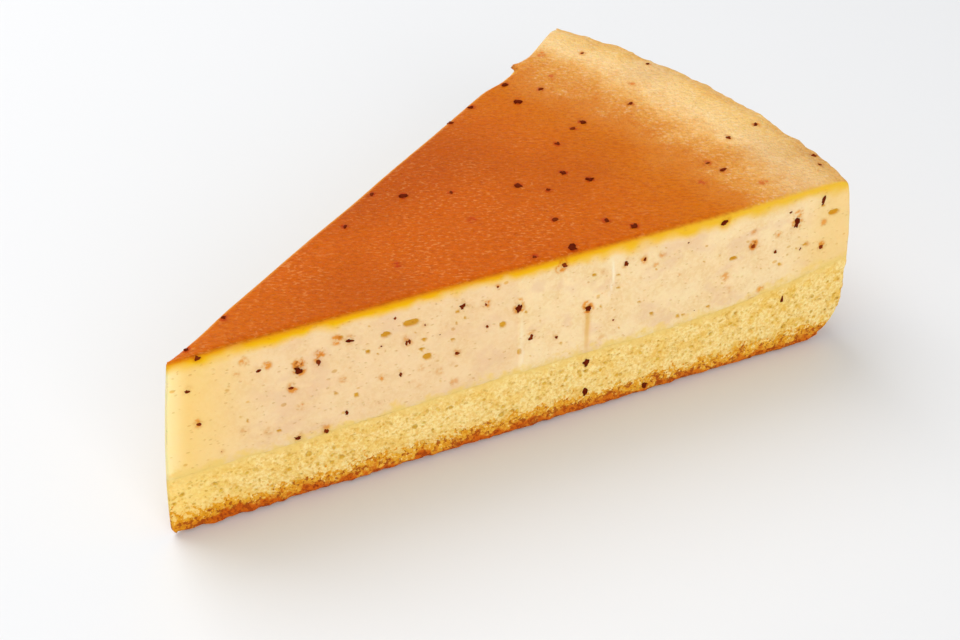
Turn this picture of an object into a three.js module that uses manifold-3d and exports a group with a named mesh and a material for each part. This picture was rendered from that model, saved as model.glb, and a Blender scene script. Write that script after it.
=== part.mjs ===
// A slice of baked cheesecake, a tenth of a round cake. A thin sponge base curls up where it met the
// wall of the tin. The cream cheese filling was poured on it and baked, so its top is browned, dished
// in the middle and wrinkled along the rim. The two cut faces lean out a little towards the plate.
// Millimetres, +Z up. The slice points along -X, and rests on its base.
import * as THREE from "three";
import { mergeVertices } from "three/addons/utils/BufferGeometryUtils.js";
import { ImprovedNoise } from "three/addons/math/ImprovedNoise.js";
import Module from "manifold-3d";

const { lerp, degToRad, smoothstep } = THREE.MathUtils;

// Driving dimensions of the cake
const CAKE_RADIUS = 105; // from the cut tip to the rim, at the top
const CAKE_HEIGHT = 31; // in the middle of the slice
const SLICE_ANGLE = 36; // degrees
const SPONGE_AT_TIP = 10.7; // thickness of the base
const SPONGE_IN_MIDDLE = 11.9;
const SPONGE_AT_WALL = 16.6;
const SEAM_CURL = { from: 0.6, power: 2.6 }; // the sponge thickens past this share of the length

// Shape of the outer wall
const WALL_LEAN = 3; // how much wider the cake is near its foot than at its top
const WALL_LEAN_CURVE = 3; // the wall leans most just below the rim and stands upright near the foot
const FOOT_ROUND = { height: 8, inset: 7.5 };
const RIM_ROUND = { height: 1.3, inset: 0.8 };

// Shape of the cuts
const TIP_LEAN = 4.1; // how far the foot of the tip stands out past its top
const TIP_LEAN_CURVE = 1.5; // the lean grows quickly below the top and is steep at the foot
const CUT_LEAN_AT_RIM = 0.5;
const TIP_WIDTH = 0.4; // the tip is a narrow blunt face

// Shape of the browned top
const RIM_RISE = 0.9; // the top's raised border
const RIM_RISE_FROM = 80; // distance from the tip where it starts to rise
const RIM_ROLL = { width: 3, drop: 0.4 }; // the border rolls over at the wall
const TIP_SLUMP = { length: 13, drop: 0.8, nearShare: 0.4 }; // deepest on the far cut

// Unevenness
const RIM_WRINKLE = { depth: 0.55, length: 3.4, reach: 4, stretch: 2 }; // of the skin along the rim
const TOP_SWELL = { depth: 0.22, length: 17 };
const SEAM_SWELL = { depth: 0.35, length: 15 }; // of the seam between sponge and filling
const CREAM_RIPPLE = { depth: 0.14, length: 5 };
const CRUMB_RIPPLE = { depth: 0.34, length: 2.6 };
const SKIN_FLAP = { at: 89.2, width: 1.5, depth: 1.2, thickness: 2.5 }; // torn skin on the far top edge
const FAR_EDGE_HOLLOW = { from: 79, fullFrom: 86, fullTo: 94, to: 104, depth: 1.1 }; // on both sides of it
const TIP_SMOOTH = 8; // the cuts grow uneven over this distance from the tip

// Air bubbles opened by the knife in the filling
const BUBBLE_COUNT = 11; // on each cut
const BUBBLE = { least: 1, most: 2.4, flatness: 0.52, rarity: 2.2 }; // width, and how rare wide ones are
const BUBBLE_PLACES = { from: 0.14, to: 0.93, aboveSeam: 2.2, belowTop: 3.3 };

const SEAM_GAP = 0.3; // clearance between the two solids
const SEGMENTS = { along: 30, across: 20, spongeUp: 6, fillingUp: 7 };
const CROWDING = 0.6; // how strongly the segments crowd towards the wall

const halfAngle = degToRad(SLICE_ANGLE / 2);
const wallArc = 2 * halfAngle * CAKE_RADIUS;
const bluntLength = TIP_WIDTH / (2 * Math.sin(halfAngle)); // from the tip's face to where the cuts would meet
const perlin = new ImprovedNoise();
const NOISE_GAIN = 1.6; // brings the noise to a range of about -1 to 1
const SEED_STEP = 7.31;

// Smooth unevenness of a given depth and length. Each use has a seed of its own.
function ripple(u, v, { depth, length }, seed) {
  return depth * NOISE_GAIN * perlin.noise(u / length, v / length, seed * SEED_STEP);
}

function wallRadius(z) {
  const lean = WALL_LEAN * (1 - (z / CAKE_HEIGHT) ** WALL_LEAN_CURVE);
  const foot = Math.max(0, 1 - z / FOOT_ROUND.height);
  const rim = Math.max(0, 1 - (CAKE_HEIGHT - z) / RIM_ROUND.height);
  const footInset = FOOT_ROUND.inset * (1 - Math.sqrt(1 - foot ** 2));
  const rimInset = RIM_ROUND.inset * (1 - Math.sqrt(1 - Math.min(1, rim) ** 2));
  return CAKE_RADIUS + lean - footInset - rimInset;
}

// How far the foot of a cut stands out past its top edge, as a share of its whole lean.
function leanShare(z) {
  return 1 - Math.max(0, z / CAKE_HEIGHT) ** TIP_LEAN_CURVE;
}

// The point in plan that lies a share `along` of the way from the tip to the wall, and a share `across`
// of the way from the near cut to the far one.
function planPoint(along, across, z) {
  const radius = wallRadius(z);
  const spread = halfAngle + Math.asin((CUT_LEAN_AT_RIM * leanShare(z)) / radius);
  const angle = lerp(-spread, spread, across);
  const tip = new THREE.Vector2(-TIP_LEAN * leanShare(z) - bluntLength, 0);
  const wall = new THREE.Vector2(radius * Math.cos(angle), radius * Math.sin(angle));
  return tip.lerp(wall, lerp(bluntLength / tip.distanceTo(wall), 1, along));
}

function seamHeight(along, across) {
  const radius = along * CAKE_RADIUS;
  const flat = lerp(SPONGE_AT_TIP, SPONGE_IN_MIDDLE, smoothstep(along, 0, SEAM_CURL.from));
  const nearWall = Math.max(0, along - SEAM_CURL.from) / (1 - SEAM_CURL.from);
  const curl = (SPONGE_AT_WALL - SPONGE_IN_MIDDLE) * nearWall ** SEAM_CURL.power;
  return flat + curl + ripple(radius, across * wallArc * along, SEAM_SWELL, 1);
}

function topHeight(along, across) {
  const radius = along * CAKE_RADIUS;
  const crest = CAKE_RADIUS - RIM_ROLL.width;
  const rise = RIM_RISE * smoothstep(radius, RIM_RISE_FROM, crest);
  const roll = RIM_ROLL.drop * smoothstep(radius, crest, CAKE_RADIUS) ** 2;
  const slump = TIP_SLUMP.drop * (1 - smoothstep(radius, 0, TIP_SLUMP.length));
  const level = CAKE_HEIGHT + rise - roll - slump * lerp(TIP_SLUMP.nearShare, 1, across);
  return level + ripple(radius, across * wallArc * along, TOP_SWELL, 2);
}

// The unevenness of a point's own face, added to its place in plan: out from a cut, or out from the wall.
function roughen(point, along, across, z, texture, seed) {
  const radius = along * CAKE_RADIUS;
  const side = across === 0 ? -1 : across === 1 ? 1 : 0;
  if (side && along > 0) {
    const out = new THREE.Vector2(-Math.sin(halfAngle), side * Math.cos(halfAngle));
    point.addScaledVector(out, smoothstep(radius, 0, TIP_SMOOTH) * ripple(radius, z, texture, seed + side));
  }
  if (along === 1) {
    const arc = across * wallArc;
    const nearTop = smoothstep(z, CAKE_HEIGHT - RIM_WRINKLE.reach, CAKE_HEIGHT);
    const wrinkle = nearTop * ripple(arc, z / RIM_WRINKLE.stretch, RIM_WRINKLE, seed + 3);
    const grain = (1 - nearTop) * ripple(arc, z, texture, seed + 4);
    point.addScaledVector(point.clone().normalize(), wrinkle + grain);
  }
  return point;
}

// The far top edge is nibbled in towards the rim, with a torn flap of skin in the middle of the hollow.
function tearFarEdge(point, along, across, z) {
  const onFarTopEdge = across === 1 ? smoothstep(z, CAKE_HEIGHT - SKIN_FLAP.thickness, CAKE_HEIGHT) : 0;
  const radius = along * CAKE_RADIUS;
  const flap = Math.exp(-(((radius - SKIN_FLAP.at) / SKIN_FLAP.width) ** 2));
  const { from, fullFrom, fullTo, to, depth } = FAR_EDGE_HOLLOW;
  const hollow = smoothstep(radius, from, fullFrom) - smoothstep(radius, fullTo, to);
  const shift = onFarTopEdge * (SKIN_FLAP.depth * flap - depth * hollow);
  return point.add(new THREE.Vector2(-Math.sin(halfAngle), Math.cos(halfAngle)).multiplyScalar(shift));
}

// A layer starts as a box with a grid on each face, and each of its points moves to its place in the slice.
function layerGeometry(up, placePoint) {
  const box = new THREE.BoxGeometry(1, 1, 1, SEGMENTS.along, SEGMENTS.across, up);
  box.deleteAttribute("normal");
  box.deleteAttribute("uv");
  const geometry = mergeVertices(box.translate(0.5, 0.5, 0.5));
  const position = geometry.getAttribute("position");
  for (let i = 0; i < position.count; i++) {
    const even = position.getX(i);
    const along = even === 1 ? 1 : lerp(even, Math.sin((even * Math.PI) / 2), CROWDING);
    const place = placePoint(along, position.getY(i), position.getZ(i));
    position.setXYZ(i, place.x, place.y, place.z);
  }
  return geometry;
}

function spongeGeometry() {
  return layerGeometry(SEGMENTS.spongeUp, (along, across, up) => {
    const level = 1 - Math.cos((up * Math.PI) / 2); // closer together towards the rounded foot
    const z = level * (seamHeight(along, across) - SEAM_GAP / 2);
    const point = planPoint(along, across, z);
    roughen(point, along, across, z, CRUMB_RIPPLE, 20);
    return new THREE.Vector3(point.x, point.y, z);
  });
}

function fillingGeometry() {
  return layerGeometry(SEGMENTS.fillingUp, (along, across, up) => {
    const level = Math.sin((up * Math.PI) / 2); // closer together towards the top edge
    const z = lerp(seamHeight(along, across) + SEAM_GAP / 2, topHeight(along, across), level);
    const flat = lerp(seamHeight(along, across) + SEAM_GAP / 2, CAKE_HEIGHT, level);
    const point = planPoint(along, across, Math.min(flat, CAKE_HEIGHT));
    roughen(point, along, across, flat, CREAM_RIPPLE, 40);
    tearFarEdge(point, along, across, flat);
    return new THREE.Vector3(point.x, point.y, z);
  });
}

// The manifold library joins and cuts closed meshes.
const wasm = await Module();
wasm.setup();

function toSolid(geometry) {
  const merged = mergeVertices(geometry, 1e-4);
  return new wasm.Manifold(
    new wasm.Mesh({
      numProp: 3,
      vertProperties: new Float32Array(merged.getAttribute("position").array),
      triVerts: new Uint32Array(merged.index.array),
    }),
  );
}

function toGeometry(solid) {
  const mesh = solid.getMesh();
  const geometry = new THREE.BufferGeometry();
  geometry.setAttribute("position", new THREE.BufferAttribute(mesh.vertProperties, 3));
  geometry.setIndex(new THREE.BufferAttribute(mesh.triVerts, 1));
  geometry.computeVertexNormals();
  return geometry;
}

// Bubble number `i` on the near cut (across 0) or the far one (1). The spread is even and never lines up,
// because each value steps on by an irrational share of its range.
function bubbleGeometry(i, across) {
  const spread = (step) => (0.5 + 0.37 * across + i * step) % 1;
  const along = lerp(BUBBLE_PLACES.from, BUBBLE_PLACES.to, spread(Math.SQRT1_2));
  const low = seamHeight(along, across) + BUBBLE_PLACES.aboveSeam;
  const z = lerp(low, CAKE_HEIGHT - BUBBLE_PLACES.belowTop, spread(Math.sqrt(3)));
  const width = lerp(BUBBLE.least, BUBBLE.most, spread((Math.sqrt(5) - 1) / 2) ** BUBBLE.rarity);
  const centre = planPoint(along, across, z);
  const bubble = new THREE.SphereGeometry(0.5, 8, 6);
  bubble.deleteAttribute("normal");
  bubble.deleteAttribute("uv");
  bubble.scale(width, width, width * BUBBLE.flatness);
  bubble.rotateZ(lerp(-halfAngle, halfAngle, across));
  return bubble.translate(centre.x, centre.y, z);
}

function openBubbles(filling) {
  const bubbles = [];
  for (const across of [0, 1]) {
    for (let i = 0; i < BUBBLE_COUNT; i++) {
      bubbles.push(toSolid(bubbleGeometry(i, across)));
    }
  }
  return bubbles.reduce((solid, bubble) => solid.subtract(bubble), toSolid(filling));
}

const spongeMaterial = new THREE.MeshStandardMaterial({ color: 0xeec878, roughness: 0.85, metalness: 0 });
const fillingMaterial = new THREE.MeshStandardMaterial({ color: 0xf1d0a4, roughness: 0.55, metalness: 0 });

const sponge = new THREE.Mesh(toGeometry(toSolid(spongeGeometry())), spongeMaterial);
sponge.name = "sponge_base";
const filling = new THREE.Mesh(toGeometry(openBubbles(fillingGeometry())), fillingMaterial);
filling.name = "cheese_filling";

// The slice stands with the middle of its footprint's box over the origin.
const slice = new THREE.Group();
slice.add(sponge, filling);
const bounds = new THREE.Box3().setFromObject(slice);
const middle = bounds.getCenter(new THREE.Vector3());
slice.position.set(-middle.x, -middle.y, -bounds.min.z);

export default slice;
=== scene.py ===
import math
import random

import bmesh
import bpy
import numpy as np
from mathutils import Matrix, Vector, noise
from mathutils.bvhtree import BVHTree


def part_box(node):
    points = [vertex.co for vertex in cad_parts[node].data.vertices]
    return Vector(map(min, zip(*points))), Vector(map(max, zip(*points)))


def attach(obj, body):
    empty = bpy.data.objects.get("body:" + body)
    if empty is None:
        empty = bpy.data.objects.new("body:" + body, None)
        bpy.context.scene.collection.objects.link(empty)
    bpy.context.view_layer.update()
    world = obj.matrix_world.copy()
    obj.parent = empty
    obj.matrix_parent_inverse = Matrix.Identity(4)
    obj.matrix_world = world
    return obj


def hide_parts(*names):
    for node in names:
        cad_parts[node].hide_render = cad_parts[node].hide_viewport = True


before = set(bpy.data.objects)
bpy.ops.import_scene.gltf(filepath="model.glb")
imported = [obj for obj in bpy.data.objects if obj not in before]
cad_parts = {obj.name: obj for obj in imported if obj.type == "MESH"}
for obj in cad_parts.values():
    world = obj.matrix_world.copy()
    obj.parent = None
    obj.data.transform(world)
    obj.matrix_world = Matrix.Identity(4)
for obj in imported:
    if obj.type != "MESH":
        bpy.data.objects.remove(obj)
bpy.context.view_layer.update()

# Camera. It looks down on the near cut and on the browned top, from in front and to the tip's side.
# Its place is measured from the spot on the floor below the point where the two top edges meet.
MM = 0.001
TIP_FOOT_REACH = 4.130 * MM
TIP_SIDE_STEP = 0.0755 * MM
CAMERA_FROM_TIP = Vector((-56.0, -126.55, 147.87)) * MM
CAMERA_TURN = math.radians(40.908)
CAMERA_DIP = math.radians(39.8)

tip_spot = Vector((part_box("sponge_base")[0].x + TIP_FOOT_REACH, TIP_SIDE_STEP, 0))
camera_data = bpy.data.cameras.new("camera")
camera_data.sensor_width = 36
camera_data.lens = 51.21
camera_data.clip_start = 0.01
camera = bpy.data.objects.new("camera", camera_data)
camera.location = tip_spot + CAMERA_FROM_TIP
camera.rotation_euler = (math.radians(90) - CAMERA_DIP, 0, -CAMERA_TURN)
bpy.context.collection.objects.link(camera)
bpy.context.scene.camera = camera

# Floor and light. A pale matt sheet lies under the slice. A wide soft box hangs above and behind it,
# on the far cut's side, a second one fills the near cut, and pale walls light the rest.
FLOOR_SIZE = 3.0
FLOOR_COLOUR = (0.81, 0.82, 0.838, 1)
SURROUND_COLOUR = (0.98, 0.99, 1.0, 1)
SURROUND_STRENGTH = 0.55


def soft_box(name, place, aim, size, power, colour):
    light = bpy.data.lights.new(name, "AREA")
    light.shape = "SQUARE"
    light.size = size
    light.energy = power
    light.color = colour
    lamp = bpy.data.objects.new(name, light)
    lamp.location = place
    lamp.rotation_euler = (Vector(aim) - Vector(place)).to_track_quat("-Z", "Y").to_euler()
    bpy.context.collection.objects.link(lamp)


soft_box("top_light", (-0.05, 0.42, 0.62), (0, 0, 0.01), 0.55, 3.4, (1, 0.985, 0.965))
soft_box("front_light", (-0.22, -0.62, 0.34), (0, 0, 0.015), 0.5, 2.2, (1, 0.99, 0.97))

surround = bpy.data.worlds.new("pale_walls")
surround.use_nodes = True
surround.node_tree.nodes["Background"].inputs["Color"].default_value = SURROUND_COLOUR
surround.node_tree.nodes["Background"].inputs["Strength"].default_value = SURROUND_STRENGTH
bpy.context.scene.world = surround
bpy.context.scene.view_settings.view_transform = "Standard"

floor_mesh = bpy.data.meshes.new("floor")
floor_block = bmesh.new()
bmesh.ops.create_grid(floor_block, x_segments=1, y_segments=1, size=FLOOR_SIZE)
floor_block.to_mesh(floor_mesh)
floor_block.free()
floor = bpy.data.objects.new("floor", floor_mesh)
bpy.context.collection.objects.link(floor)
floor_paint = bpy.data.materials.new("floor_paint")
floor_paint.use_nodes = True
floor_paint.node_tree.nodes["Principled BSDF"].inputs["Base Color"].default_value = FLOOR_COLOUR
floor_paint.node_tree.nodes["Principled BSDF"].inputs["Roughness"].default_value = 0.6
floor_mesh.materials.append(floor_paint)

# Sponge base. A thin yellow sponge, baked in the tin before the filling went on. Its crumb is open
# where the knife cut it, its underside is browned, and it curls up where it met the wall of the tin.
CAKE_RADIUS = 105 * MM
CAKE_HEIGHT = 31 * MM
HALF_ANGLE = math.radians(18)
SPONGE_AT_TIP = 10.7 * MM
SPONGE_IN_MIDDLE = 11.9 * MM
SPONGE_AT_WALL = 16.6 * MM
SEAM_CURL_FROM = 0.6
SEAM_CURL_POWER = 2.6
SEAM_SWELL = 0.3 * MM
SEAM_RIPPLE = 0.16 * MM
WALL_LEAN = 3 * MM
WALL_LEAN_CURVE = 3
FOOT_ROUND_HEIGHT = 8 * MM
FOOT_ROUND_INSET = 7.5 * MM
RIM_ROUND_HEIGHT = 1.3 * MM
RIM_ROUND_INSET = 0.8 * MM
TIP_LEAN = 4.1 * MM
TIP_LEAN_CURVE = 1.5
CUT_LEAN_AT_RIM = 0.5 * MM
TIP_WIDTH = 0.4 * MM
SPONGE_GRID = (330, 90, 44)
GRID_LINES_KEPT = 10
EDGE_CROWDING = 0.62
CORNER_ROUND = 0.5 * MM
BASE_EDGE_ROUND = 0.9 * MM
TIP_FOOT_ROUND = 1.6 * MM
TIP_FOOT_LENGTH = 6 * MM
CRUMB_HOLE = 1.15 * MM
CRUMB_HOLE_SPREAD = 0.42
CRUMB_HOLE_DEPTH = 0.34 * MM
CRUMB_SWELL = 0.16 * MM
CRUMB_GRAIN = 0.1 * MM
CRUST_THICKNESS = 1.9 * MM
CRUST_UNEVEN = 0.8 * MM
CRUST_BUMPS = 0.3 * MM
CRUST_PROUD = 0.15 * MM
UNDERSIDE_BUMPS = 0.12 * MM
SPONGE_SMOOTH_TIP = 5 * MM
# Pore tints: the pores' own amber tone, partly painted shade in the hollows.
PORE_TINT = (0.76, 0.62, 0.2, 1)
SHALLOW_PORE_TINT = (0.82, 0.68, 0.2, 1)
PATCH_TINT = (0.92, 0.8, 0.44, 1)

near_out = Vector((-math.sin(HALF_ANGLE), -math.cos(HALF_ANGLE)))
far_out = Vector((-math.sin(HALF_ANGLE), math.cos(HALF_ANGLE)))


def ease(value, low, high):
    share = np.clip((value - low) / (high - low), 0, 1)
    return share * share * (3 - 2 * share)


def wall_radius(z):
    lean = WALL_LEAN * (1 - (z / CAKE_HEIGHT) ** WALL_LEAN_CURVE)
    foot = np.clip(1 - z / FOOT_ROUND_HEIGHT, 0, 1)
    rim = np.clip(1 - (CAKE_HEIGHT - z) / RIM_ROUND_HEIGHT, 0, 1)
    foot_inset = FOOT_ROUND_INSET * (1 - np.sqrt(1 - foot**2))
    rim_inset = RIM_ROUND_INSET * (1 - np.sqrt(1 - rim**2))
    return CAKE_RADIUS + lean - foot_inset - rim_inset


def place_in_plan(along, across, z):
    """Where a share of the way from tip to wall, and from the near cut to the far one, lies in plan."""
    lean = 1 - np.clip(z / CAKE_HEIGHT, 0, 1) ** TIP_LEAN_CURVE
    radius = wall_radius(z)
    angle = (2 * across - 1) * (HALF_ANGLE + np.arcsin(CUT_LEAN_AT_RIM * lean / radius))
    blunt = TIP_WIDTH / (2 * math.sin(HALF_ANGLE))
    tip_x = -TIP_LEAN * lean - blunt
    to_wall = np.stack([radius * np.cos(angle) - tip_x, radius * np.sin(angle)], 1)
    length = np.hypot(*to_wall.T)
    share = (blunt + (length - blunt) * along) / length
    x, y = to_wall.T * share
    return x + tip_x, y, length * share, length * (1 - share)


def noise_at(points, length, seed):
    """Smooth noise from about -1 to 1 at each point, with bumps of a given length."""
    start = Vector((seed * 3.17, seed * 7.31, seed * 5.53))
    return np.array([noise.noise(Vector(p) / length + start) for p in points])


def seam_height(along, across):
    flat = SPONGE_AT_TIP + (SPONGE_IN_MIDDLE - SPONGE_AT_TIP) * ease(along, 0, SEAM_CURL_FROM)
    near_wall = np.clip((along - SEAM_CURL_FROM) / (1 - SEAM_CURL_FROM), 0, 1)
    curl = (SPONGE_AT_WALL - SPONGE_IN_MIDDLE) * near_wall**SEAM_CURL_POWER
    spot = np.stack([along, across * along * 2 * HALF_ANGLE, 0 * along], 1) * CAKE_RADIUS
    return flat + curl + SEAM_SWELL * noise_at(spot, 14 * MM, 1) + SEAM_RIPPLE * noise_at(spot, 2.5 * MM, 2)


def scored_block(parts, hidden_level):
    """A block one unit each way with a fine grid on its faces, coarse where the other layer hides it."""
    block = bmesh.new()
    bmesh.ops.create_cube(block, size=1, matrix=Matrix.Translation((0.5, 0.5, 0.5)))
    for axis, count in enumerate(parts):
        crossed = [e for e in block.edges if abs(e.verts[0].co[axis] - e.verts[1].co[axis]) > 0.5]
        bmesh.ops.subdivide_edges(block, edges=crossed, cuts=count - 1)
    spare = []
    for edge in block.edges:
        a, b = (v.co for v in edge.verts)
        if abs(a.z - hidden_level) > 1e-5 or abs(b.z - hidden_level) > 1e-5:
            continue
        axis = 0 if abs(a.y - b.y) > 1e-5 else 1
        line = round(a[axis] * parts[axis])
        if 0 < line < parts[axis] and line % GRID_LINES_KEPT:
            spare.append(edge)
    bmesh.ops.dissolve_edges(block, edges=spare, use_verts=True)
    for edge in block.edges:
        edge.smooth = any(abs(corner.co.z - hidden_level) > 1e-5 for corner in edge.verts)
    return block


def grid_shares(block):
    """Each vertex's share of the way along the slice, across it and up it, and the faces it lies on."""
    along, across, up = np.array([v.co[:] for v in block.verts]).T
    faces = {
        "near": across < 1e-5,
        "far": across > 1 - 1e-5,
        "wall": along > 1 - 1e-5,
        "low": up < 1e-5,
        "high": up > 1 - 1e-5,
    }
    across = across - EDGE_CROWDING * np.sin(2 * math.pi * across) / (2 * math.pi)
    return along, np.clip(across, 0, 1), up, faces


def round_over(distance, radius):
    """Rounds an edge: how far a point this far from it moves away from it, and how far it sinks in."""
    radius = np.maximum(radius, 0.01 * MM)
    turn = np.clip(1 - distance / radius, 0, 1) * math.pi / 4
    back = np.where(turn > 0, radius * (1 - np.sin(turn)) - distance, 0)
    return back, radius * (1 - np.cos(turn))


def crumb_holes(points, size, spread):
    """Round holes of about this size, from 0 between them to 1 in the middle of one."""
    depths = []
    for p in points:
        distances, centres = noise.voronoi(Vector(p) / size)
        width = spread * (0.75 + 0.45 * noise.cell(centres[0] * 9))
        depths.append(max(0.0, 1 - distances[0] / width))
    return np.array(depths)


def keep_values(mesh, key, values):
    """Keeps a number for each vertex of a mesh, for a material to read."""
    mesh.attributes.new(key, "FLOAT", "POINT").data.foreach_set("value", values.astype(np.float32))


def finished_piece(name, block, shape, attributes):
    """Moves the block's vertices to their places and makes it a piece that carries its attributes."""
    for vertex, place in zip(block.verts, shape):
        vertex.co = place
    for face in block.faces:
        face.smooth = True
    mesh = bpy.data.meshes.new(name)
    block.to_mesh(mesh)
    block.free()
    for key, values in attributes.items():
        keep_values(mesh, key, values)
    piece = bpy.data.objects.new(name, mesh)
    bpy.context.collection.objects.link(piece)
    return piece


def shape_sponge(block):
    along, across, up, on = grid_shares(block)
    seam = seam_height(along, across)
    z = up * seam
    x, y, from_tip, from_wall = place_in_plan(along, across, z)
    spread = 2 * HALF_ANGLE
    from_near = from_tip * np.sin(spread * across)
    from_far = from_tip * np.sin(spread * (1 - across))
    spots = np.stack([x, y, z], 1)
    steady = ease(from_tip, 0, SPONGE_SMOOTH_TIP)
    holes = crumb_holes(spots, CRUMB_HOLE, CRUMB_HOLE_SPREAD)
    holes = holes * ease(seam - z, 0.2 * MM, 1.2 * MM) * (1 - 0.5 * on["low"])
    relief = CRUMB_SWELL * noise_at(spots, 2.6 * MM, 3) + CRUMB_GRAIN * noise_at(spots, 0.9 * MM, 4)
    crust = ease(CRUST_THICKNESS + CRUST_UNEVEN * noise_at(spots, 2 * MM, 5) - z, 0, 0.7 * MM)
    relief = relief + crust * (CRUST_BUMPS * noise_at(spots, 1.3 * MM, 6) + CRUST_PROUD)
    relief = (relief - CRUMB_HOLE_DEPTH * holes) * ease(seam - z, -0.2 * MM, 0.8 * MM)
    shift = np.zeros((len(z), 3))
    for side, out in (("near", near_out), ("far", far_out)):
        face = on[side]
        back, sink = round_over(z, BASE_EDGE_ROUND)
        corner_sink = round_over(from_wall, CORNER_ROUND)[1]
        push = relief * steady - np.where(on["low"], 0, sink) - np.where(on["wall"], 0, corner_sink)
        push = push * face
        shift[:, 0] += out.x * push
        shift[:, 1] += out.y * push
        shift[:, 2] += np.where(face & ~on["low"], back, 0)
    wall_x, wall_y = x / np.hypot(x, y), y / np.hypot(x, y)
    push = relief * on["wall"]
    for distance, out in ((from_near, near_out), (from_far, far_out)):
        back, sink = round_over(distance, CORNER_ROUND)
        push = push - sink * on["wall"]
        shift[:, 0] -= out.x * back * on["wall"]
        shift[:, 1] -= out.y * back * on["wall"]
        back, sink = round_over(distance, BASE_EDGE_ROUND)
        shift[:, 0] -= out.x * back * on["low"]
        shift[:, 1] -= out.y * back * on["low"]
        shift[:, 2] += sink * on["low"]
    shift[:, 0] += wall_x * push
    shift[:, 1] += wall_y * push
    foot = np.clip(1 - z / TIP_FOOT_ROUND, 0, 1) * np.clip(1 - from_tip / TIP_FOOT_LENGTH, 0, 1)
    shift[:, 0] += TIP_FOOT_ROUND * (1 - np.sqrt(1 - foot**2))
    under = UNDERSIDE_BUMPS * (1 + noise_at(spots, 3 * MM, 7)) * on["low"]
    shift[:, 2] += under
    spots = spots + shift + np.array(tip_spot)
    spots[:, 2] = np.maximum(spots[:, 2], 0)
    attributes = {
        "height": z / MM,
        "below_seam": (seam - z) / MM,
        "from_tip": from_tip / MM,
        "hole": holes,
        "wall": on["wall"].astype(float),
        "underside": on["low"].astype(float),
    }
    return spots, attributes


sponge_block = scored_block(SPONGE_GRID, hidden_level=1)
sponge = finished_piece("sponge", sponge_block, *shape_sponge(sponge_block))


def srgb(red, green, blue):
    """A colour as it looks on screen, from 0 to 255, as the linear colour that a socket takes."""
    channels = [c / 255 for c in (red, green, blue)]
    return [c / 12.92 if c <= 0.04045 else ((c + 0.055) / 1.055) ** 2.4 for c in channels] + [1]


class Nodes:
    """Short ways to lay out the nodes of one material or node group."""

    def __init__(self, tree):
        self.tree = tree

    def add(self, kind, sockets, **settings):
        made = self.tree.nodes.new("ShaderNode" + kind)
        for key, value in settings.items():
            setattr(made, key, value)
        for key, value in sockets.items():
            if isinstance(value, bpy.types.NodeSocket):
                self.tree.links.new(value, made.inputs[key])
            else:
                made.inputs[key].default_value = value
        return made

    def attribute(self, name):
        return self.add("Attribute", {}, attribute_name=name).outputs["Fac"]

    def millimetres(self):
        place = self.add("TexCoord", {}).outputs["Object"]
        return self.add("VectorMath", {0: place, "Scale": 1 / MM}, operation="SCALE").outputs[0]

    def stretched(self, vector, scale):
        return self.add("VectorMath", {0: vector, 1: scale}, operation="MULTIPLY").outputs[0]

    def noise(self, vector, length, detail=2.0, roughness=0.5, distortion=0.0):
        sockets = {"Vector": vector, "Scale": 1 / length, "Detail": detail}
        sockets.update({"Roughness": roughness, "Distortion": distortion})
        return self.add("TexNoise", sockets).outputs[0]

    def math(self, operation, a, b=0.0):
        return self.add("Math", {0: a, 1: b}, operation=operation).outputs[0]

    def fade(self, value, low, high, start=0.0, end=1.0):
        sockets = {"Value": value, "From Min": low, "From Max": high, "To Min": start, "To Max": end}
        return self.add("MapRange", sockets, interpolation_type="SMOOTHSTEP").outputs[0]

    def mix(self, share, a, b, blend="MIX"):
        made = self.add("Mix", {0: share, 6: a, 7: b}, data_type="RGBA", blend_type=blend)
        return made.outputs[2]

    def ramp(self, value, stops):
        made = self.add("ValToRGB", {0: value})
        elements = made.color_ramp.elements
        while len(elements) < len(stops):
            elements.new(1)
        for element, (place, colour) in zip(elements, stops):
            element.position = place
            element.color = colour
        return made.outputs[0]

    def bump(self, height, depth, normal=None):
        sockets = {"Height": height, "Distance": depth, "Strength": 1.0}
        if normal is not None:
            sockets["Normal"] = normal
        return self.add("Bump", sockets).outputs[0]

    def group(self, tree, sockets):
        return self.add("Group", sockets, node_tree=tree).outputs

    def pores(self, vector, size, width, share, softness):
        sockets = {"Vector": vector, "Size": size, "Width": width, "Share": share, "Softness": softness}
        return self.group(pore_group, sockets)


def new_material(name):
    material = bpy.data.materials.new(name)
    material.use_nodes = True
    return material, Nodes(material.node_tree), material.node_tree.nodes["Principled BSDF"]


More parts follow.
